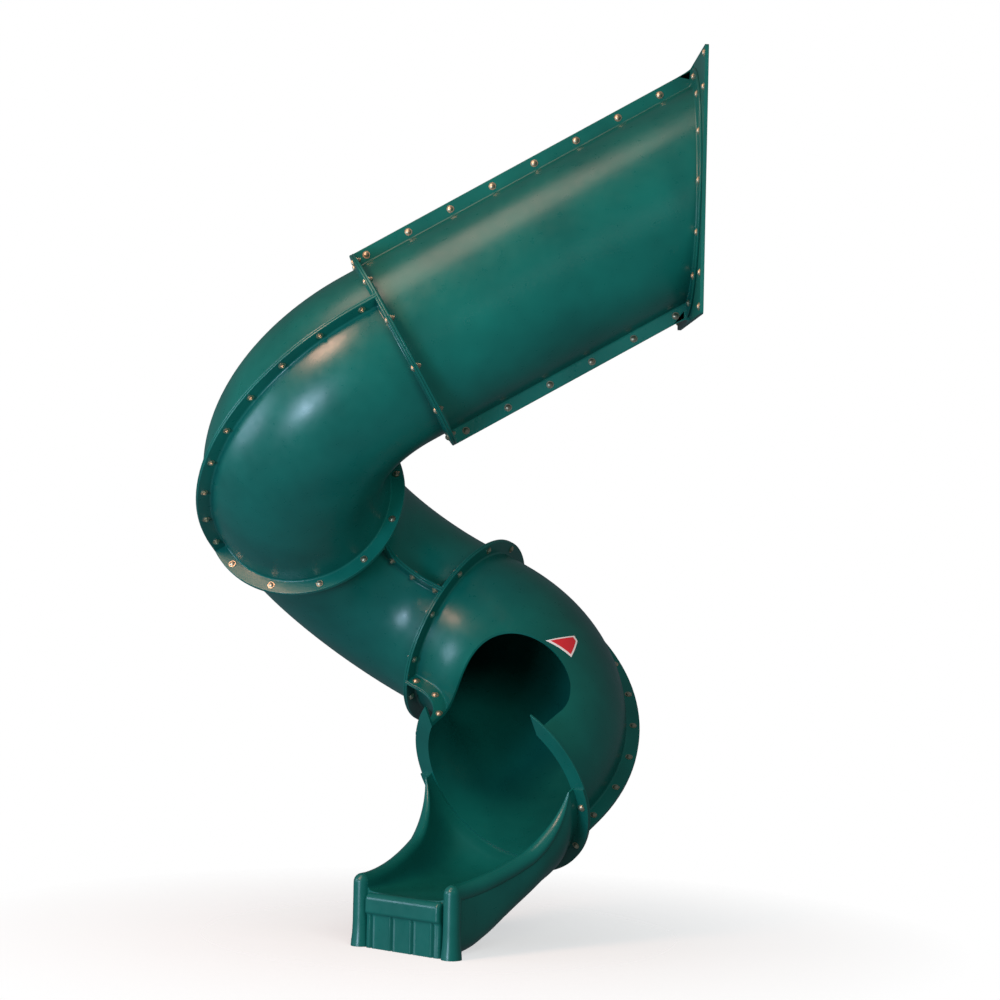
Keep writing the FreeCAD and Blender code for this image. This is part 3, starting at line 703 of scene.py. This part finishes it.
class SLIDE_OT_deck_bolts(bpy.types.Operator):
    """Make the heads of the bolts that hold the panel to the deck"""
    bl_idname = "tube_slide.deck_bolts"
    bl_label = "Deck Bolt Heads"

    def execute(self, context):
        panel = settings().panel
        bm = bmesh.new()
        profile = dome_profile(HEAD_RADIUS, HEAD_HEIGHT, WASHER_RADIUS, WASHER_THICKNESS)
        for y, z in deck_holes():
            verts = [bm.verts.new((-panel.thickness - h, y + d, z)) for d, h in profile]
            edges = [bm.edges.new(pair) for pair in zip(verts, verts[1:])]
            bmesh.ops.spin(bm, geom=verts + edges, cent=(0, y, z), axis=(1, 0, 0),
                           angle=math.tau, steps=24, use_merge=True)
        bmesh.ops.remove_doubles(bm, verts=bm.verts, dist=0.01 * MM)
        finished("deck_bolt_heads", bm, "zinc_plated_steel")
        return {"FINISHED"}


# ---------------------------------------------------------------- exit chute
CHUTE_STEPS = 36
BOWL_STEPS = 40
RAIL_STEPS = 14
SKIRT_POINTS = 33
NARROWING_POWER = 1.6
LOWERING_POWER = 1.7
ROLL_RUN_SHARE = 0.5
FOOT_START_SHARE = 0.25
FOOT_END_SHARE = 0.9
ROUND_SQUARENESS = 2.0
MOUTH_SQUARENESS = 5.0
OVERHANG_RUN_SHARE = 0.3
LIP_RUN_SHARE = 0.5
SKIRT_TOP_SHARE = 0.8
RAIL_UNDERCUT = 50.0
POST_FLARE = ((0.0, 1.18), (12 * MM, 1.16), (45 * MM, 1.04), (80 * MM, 1.0))
POST_CROWN = (15, 30, 45, 60, 75, 86)
APRON_GROOVES = 4
APRON_STEPS = 160
APRON_BREAK = 60 * MM
NOSE_LIFT = 18 * MM
NOSE_DROP_SHARE = 0.6


def chute_path(distance):
    """Forward place, height and tilt of the floor at a distance from the outlet ring."""
    tube, chute = settings().tube, settings().chute
    slope = chute_slope()
    x = -tube.bore_radius * math.sin(slope)
    z = -tube.bore_radius * math.cos(slope)
    straight = min(distance, chute.collar)
    x += straight * math.cos(slope)
    z -= straight * math.sin(slope)
    tilt = slope - min(max(distance - chute.collar, 0.0) / chute.bend_radius, slope)
    x += chute.bend_radius * (math.sin(slope) - math.sin(tilt))
    z -= chute.bend_radius * (math.cos(tilt) - math.cos(slope))
    x += max(distance - chute.collar - chute.bend_radius * slope, 0.0)
    return x, z, tilt


def chute_slope():
    return -math.asin(route()[1].col[0][2])


def level_frame(outlet):
    along = outlet.col[0].to_3d()
    along.z = 0.0
    along.normalize()
    return standing(outlet.translation, along, Vector((0, 0, 1)).cross(along))


def eased(share):
    share = min(max(share, 0.0), 1.0)
    return share * share * (3.0 - 2.0 * share)


def bowl(half_width, top, depth, squareness):
    """Points from the left rim down and up to the right rim; a circle at squareness 2."""
    points = []
    for k in range(BOWL_STEPS + 1):
        a = math.pi * k / BOWL_STEPS
        side = math.copysign(abs(math.cos(a)) ** (2.0 / squareness), math.cos(a))
        points.append((half_width * side, top - depth * abs(math.sin(a)) ** (2.0 / squareness)))
    return points


def chute_outline(share):
    """Section of the chute as (side, height) points: skirt, left rail, trough and right rail."""
    tube, chute = settings().tube, settings().chute
    narrowing = 1.0 - (1.0 - share) ** NARROWING_POWER
    lowering = 1.0 - (1.0 - share) ** LOWERING_POWER
    rolling = math.sin(math.pi / 2.0 * min(share / ROLL_RUN_SHARE, 1.0))
    inner = tube.bore_radius + (chute.half_width - tube.bore_radius) * narrowing
    wall = tube.bore_radius + (chute.wall_height - tube.bore_radius) * lowering
    roll = tube.wall + (chute.roll - tube.wall) * rolling
    deepening = eased((share - FOOT_START_SHARE) / (FOOT_END_SHARE - FOOT_START_SHARE))
    under = tube.wall + (chute.height + chute.foot_trim - tube.wall) * deepening
    squareness = ROUND_SQUARENESS + (MOUTH_SQUARENESS - ROUND_SQUARENESS) * share
    overhang = chute.overhang * eased(share / OVERHANG_RUN_SHARE)
    step = chute.lip * (1.0 - eased(share / LIP_RUN_SHARE))
    inner += step
    r = roll / 2.0
    skirt = [(y, z) for y, z in bowl(inner + roll - overhang, wall, wall + under + step,
                                     squareness) if z < wall - r * SKIRT_TOP_SHARE]
    trough = bowl(inner, wall, wall + step, squareness)[1:-1]
    rail = arc_points((inner + r, wall), r, 180, -RAIL_UNDERCUT, RAIL_STEPS)
    left = list(rail)
    right = [(-y, z) for y, z in reversed(rail)]
    return resampled(skirt, SKIRT_POINTS) + right + trough[::-1] + left


def resampled(points, count):
    """Evenly spaced points along a line of points."""
    lengths = [0.0]
    for a, b in zip(points, points[1:]):
        lengths.append(lengths[-1] + math.dist(a, b))
    result = []
    for k in range(count):
        target = lengths[-1] * k / (count - 1)
        j = next(i for i in range(1, len(points)) if lengths[i] >= target - 1e-12)
        share = (target - lengths[j - 1]) / (lengths[j] - lengths[j - 1])
        a, b = points[j - 1], points[j]
        result.append((a[0] + (b[0] - a[0]) * share, a[1] + (b[1] - a[1]) * share))
    return result


def chute_section(level, distance, outline):
    x, z, tilt = chute_path(distance)
    return [level @ Vector((x + up * math.sin(tilt), y, z + up * math.cos(tilt)))
            for y, up in outline]


class SLIDE_OT_chute(bpy.types.Operator):
    """Make the open exit chute with its rails, nose and foot"""
    bl_idname = "tube_slide.chute"
    bl_label = "Exit Chute"

    def execute(self, context):
        chute = settings().chute
        outlet = route()[1]
        level = level_frame(outlet)
        run = chute.bend_radius * chute_slope() + chute.flat
        sections = [chute_section(level, 0.0, chute_outline(0.0))]
        for k in range(CHUTE_STEPS + 1):
            share = k / CHUTE_STEPS
            distance = chute.collar + (run - chute.nose_lap) * share
            sections.append(chute_section(level, distance, chute_outline(share)))
        bm = bmesh.new()
        sweep(bm, sections)
        for v in bm.verts:
            v.co.z = max(v.co.z, GROUND)
        front, floor = chute_path(chute.collar + run + chute.nose_reach)[:2]
        self.flange(bm, outlet)
        self.posts(bm, level, front, floor)
        self.apron(bm, level, front, floor)
        finished("exit_chute_moulding", bm, "rotomoulded_polyethylene", ["exit_chute"])
        return {"FINISHED"}

    def flange(self, bm, outlet):
        """Half ring that bolts to the last elbow."""
        tube = settings().tube
        profile = [(x, s) for x, s in end_profile() if x <= tube.flange_thickness + 1e-6
                   and s > tube.bore_radius + tube.wall + 1 * MM]
        inside = tube.bore_radius + settings().chute.lip + 2 * MM
        profile += [(tube.flange_thickness, inside), (0.0, inside)]
        place = upright(outlet)
        sections = []
        for k in range(SKIN_STEPS + 1):
            a = math.pi + math.pi * k / SKIN_STEPS
            sections.append([place @ Vector((x, s * math.cos(a), s * math.sin(a)))
                             for x, s in profile])
        sweep(bm, sections)

    def posts(self, bm, level, front, floor):
        """Rounded post at the end of each rail, widening a little towards the ground."""
        chute = settings().chute
        r = chute.roll / 2.0
        ground = floor - chute.height
        crown = floor + chute.wall_height
        for side in (-1, 1):
            centre_y = side * (chute.half_width + r)
            rings = [(ground + height, r * flare) for height, flare in POST_FLARE]
            rings.append((crown, r))
            rings += [(crown + r * math.sin(math.radians(a)), r * math.cos(math.radians(a)))
                      for a in POST_CROWN]
            sections = []
            for z, radius in rings:
                ring = arc_points((front - r, centre_y), radius, 0, 360, 36)[:-1]
                sections.append([level @ Vector((x, y, z)) for x, y in ring])
            sweep(bm, sections)

    def groove(self, y):
        """How far the apron is cut back at a place across it: grooves between low ridges."""
        chute = settings().chute
        cut = 0.0
        for k in range(APRON_GROOVES):
            off = abs(y - (k - (APRON_GROOVES - 1) / 2.0) * chute.groove_pitch)
            cut += chute.groove_depth * math.exp(-(off / chute.groove_width) ** 2)
            beside = (off - chute.ridge_offset) / chute.ridge_width
            cut -= chute.ridge_height * math.exp(-beside ** 2)
        return cut

    def apron(self, bm, level, front, floor):
        """Nose and grooved apron between the posts."""
        chute = settings().chute
        half = chute.half_width - chute.nose_side
        ground = floor - chute.height
        back = front - chute.nose_depth
        high = ground + chute.apron_height
        r, under = chute.nose_round, chute.nose_under
        sections = []
        for k in range(APRON_STEPS + 1):
            y = -half + 2.0 * half * k / APRON_STEPS
            edge = min(1.0, (half - abs(y)) / chute.nose_corner)
            draw_in = chute.nose_corner * (1.0 - math.sqrt(max(1.0 - (1.0 - edge) ** 2, 0.0)))
            face = front - draw_in
            top = floor - draw_in * NOSE_DROP_SHARE
            apron = face - chute.apron_recess - self.groove(y)
            profile = [(back, ground), (apron, ground), (apron, ground + APRON_BREAK), (apron, high)]
            profile += arc_points((face - under, high + NOSE_LIFT), under, -60, 0, 4)
            profile += arc_points((face - r, top - r), r, 0, 90, 10)
            profile += [(back, top - 0.2 * MM)]
            sections.append([level @ Vector((x, y, z)) for x, z in profile])
        sweep(bm, sections)


# ---------------------------------------------------------------- label
# Corners of the label as (share of the bend, degrees round the tube), in order round it.
LABEL_CORNERS = ((0.545, 89.0), (0.492, 68.5), (0.517, 67.0), (0.622, 73.0))
LABEL_FILM = 0.4 * MM
LABEL_LAYERS = (("label_border", "white_vinyl_film", 0.5 * MM, 1.0),
                ("label_face", "red_vinyl_film", 0.9 * MM, 0.8))


class SLIDE_OT_label(bpy.types.Operator):
    """Make the blank label beside the exit opening"""
    bl_idname = "tube_slide.label"
    bl_label = "Blank Label"

    def execute(self, context):
        tube = settings().tube
        elbow = route()[0][2]
        skin = tube.bore_radius + tube.wall
        corners = [Vector(corner) for corner in LABEL_CORNERS]
        middle = sum(corners, Vector((0, 0))) / len(corners)
        for name, finish, lift, size in LABEL_LAYERS:
            bm = bmesh.new()
            bmesh.ops.create_grid(bm, x_segments=12, y_segments=8, size=0.5)
            for v in bm.verts:
                along, down = v.co.x + 0.5, v.co.y + 0.5
                top = corners[0].lerp(corners[1], along)
                bottom = corners[3].lerp(corners[2], along)
                share, angle = middle.lerp(top.lerp(bottom, down), size)
                turn = math.radians(angle)
                radius = skin + lift
                spot = Vector((0, radius * math.cos(turn), radius * math.sin(turn)))
                v.co = elbow @ elbow_station(share) @ spot
            bmesh.ops.solidify(bm, geom=list(bm.faces), thickness=LABEL_FILM)
            finished(name, bm, finish)
        return {"FINISHED"}


# ---------------------------------------------------------------- carried-over nodes
class SLIDE_OT_hardware(bpy.types.Operator):
    """Give the bolts, screws, washers, nuts and inserts their finish"""
    bl_idname = "tube_slide.hardware"
    bl_label = "Hardware Finish"

    def execute(self, context):
        replaced = ("shell", "chute", "panel")
        for name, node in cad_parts.items():
            if any(word in name for word in replaced):
                continue
            finish = "turned_brass" if name.endswith("inserts") else "zinc_plated_steel"
            node.data.materials.clear()
            node.data.materials.append(material(finish))
        return {"FINISHED"}


# ---------------------------------------------------------------- stage
FLOOR_REACH = 60.0
FLOOR_GAP = 0.5 * MM
ROOM_COLOUR = (0.75, 0.88, 1, 1)
SENSOR_WIDTH = 36.0
CAMERA_PLACE = Vector((-0.894, -9.044, -1.131))
CAMERA_RIGHT = Vector((0.9993, -0.0294, 0.0217))
CAMERA_FORWARD = Vector((0.0292, 0.9995, 0.0096))
MIDDLE = Vector((-0.8, 0.3, -1.2))

# Name, place, target, width, height, power setting, colour, whether the plastic mirrors it.
LIGHTS = (
    ("warm_key", MIDDLE + Vector((-3.3, -3.2, 2.6)), MIDDLE, 1.3, 1.3,
     "key_power", "#ffc0a4", True),
    ("cool_window", MIDDLE + Vector((-4.9, -0.7, 0.0)), MIDDLE, 2.0, 1.6,
     "window_power", "#c8e2ff", True),
    ("cool_door", MIDDLE + Vector((-3.1, -3.7, -0.9)), MIDDLE, 1.1, 1.1,
     "door_power", "#c8e2ff", True),
    ("warm_ceiling", MIDDLE + Vector((-2.0, -1.2, 4.6)), MIDDLE, 2.4, 2.4,
     "ceiling_power", "#ffd9c4", True),
    ("low_fill", MIDDLE + Vector((-3.6, -5.6, -0.6)), MIDDLE, 2.6, 1.4,
     "front_power", "#e2f0ff", False),
    ("entry_fill", Vector((0.2, -3.4, -0.2)), Vector((-0.5, 0.0, -0.3)), 1.8, 1.2,
     "entry_power", "#eef4f2", False),
)


def area_light(name, place, target, width, height, power, colour):
    data = bpy.data.lights.new(name, "AREA")
    data.shape = "RECTANGLE"
    data.energy = power
    data.size = width
    data.size_y = height
    data.color = colour
    lamp = bpy.data.objects.new(name, data)
    bpy.context.scene.collection.objects.link(lamp)
    lamp.location = place
    lamp.rotation_euler = (target - place).to_track_quat("-Z", "Y").to_euler()
    return lamp


class SLIDE_OT_stage(bpy.types.Operator):
    """Make the floor, the soft lights and the camera"""
    bl_idname = "tube_slide.stage"
    bl_label = "Stage"

    def execute(self, context):
        stage = settings().stage
        scene = context.scene
        self.floor(scene)
        self.world(scene, stage.room_strength)
        for name, place, target, width, height, power, colour, in_gloss in LIGHTS:
            lamp = area_light(name, place, target, width, height, getattr(stage, power),
                              linear(colour))
            lamp.visible_glossy = in_gloss
        self.camera(scene, stage.lens)
        scene.view_settings.view_transform = "Standard"
        return {"FINISHED"}

    def floor(self, scene):
        """Wide pale floor just under the foot, left out of the plastic's reflections."""
        bm = bmesh.new()
        bmesh.ops.create_grid(bm, x_segments=1, y_segments=1, size=FLOOR_REACH)
        bmesh.ops.translate(bm, vec=(0, 0, GROUND - FLOOR_GAP), verts=bm.verts)
        mesh = bpy.data.meshes.new("floor")
        bm.to_mesh(mesh)
        bm.free()
        mesh.materials.append(material("matte_floor"))
        floor = bpy.data.objects.new("floor", mesh)
        scene.collection.objects.link(floor)
        floor.visible_glossy = False

    def world(self, scene, room_strength):
        """Dim cool room with a plain white backdrop behind the slide."""
        world = bpy.data.worlds.new("studio")
        world.use_nodes = True
        tree = world.node_tree
        tree.nodes.clear()
        backdrop = add_node(tree, "ShaderNodeBackground", {"Color": (1, 1, 1, 1),
                                                           "Strength": 1.0})
        room = add_node(tree, "ShaderNodeBackground", {"Color": ROOM_COLOUR,
                                                       "Strength": room_strength})
        path = add_node(tree, "ShaderNodeLightPath", {})
        mix = add_node(tree, "ShaderNodeMixShader",
                       {0: path.outputs["Is Camera Ray"], 1: room.outputs[0],
                        2: backdrop.outputs[0]})
        add_node(tree, "ShaderNodeOutputWorld", {"Surface": mix.outputs[0]})
        scene.world = world

    def camera(self, scene, lens):
        """Long lens a little below the middle of the slide, with a slight roll."""
        data = bpy.data.cameras.new("camera")
        data.lens = lens
        data.sensor_width = SENSOR_WIDTH
        camera = bpy.data.objects.new("camera", data)
        scene.collection.objects.link(camera)
        back = -CAMERA_FORWARD.normalized()
        up = back.cross(CAMERA_RIGHT.normalized()).normalized()
        right = up.cross(back)
        camera.matrix_world = (Matrix.Translation(CAMERA_PLACE)
                               @ Matrix((right, up, back)).transposed().to_4x4())
        scene.camera = camera


class SLIDE_PT_panel(bpy.types.Panel):
    bl_label = "Tube Slide"
    bl_idname = "SLIDE_PT_panel"
    bl_space_type = "VIEW_3D"
    bl_region_type = "UI"
    bl_category = "Tube Slide"

    def draw(self, context):
        for operator in OPERATORS:
            self.layout.operator(operator.bl_idname)


OPERATORS = (SLIDE_OT_hardware, SLIDE_OT_panel, SLIDE_OT_deck_bolts, SLIDE_OT_entry,
             SLIDE_OT_elbows, SLIDE_OT_chute, SLIDE_OT_label, SLIDE_OT_stage)
CLASSES = (TubeSettings, PanelSettings, ChuteSettings, FinishSettings, StageSettings,
           SlideSettings, SLIDE_PT_panel) + OPERATORS


def register():
    for cls in CLASSES:
        bpy.utils.register_class(cls)
    bpy.types.Scene.tube_slide = PointerProperty(type=SlideSettings)


def unregister():
    del bpy.types.Scene.tube_slide
    for cls in reversed(CLASSES):
        bpy.utils.unregister_class(cls)


def main():
    register()
    for operator in OPERATORS:
        group, action = operator.bl_idname.split(".")
        getattr(getattr(bpy.ops, group), action)()


if __name__ == "__main__":
    main()
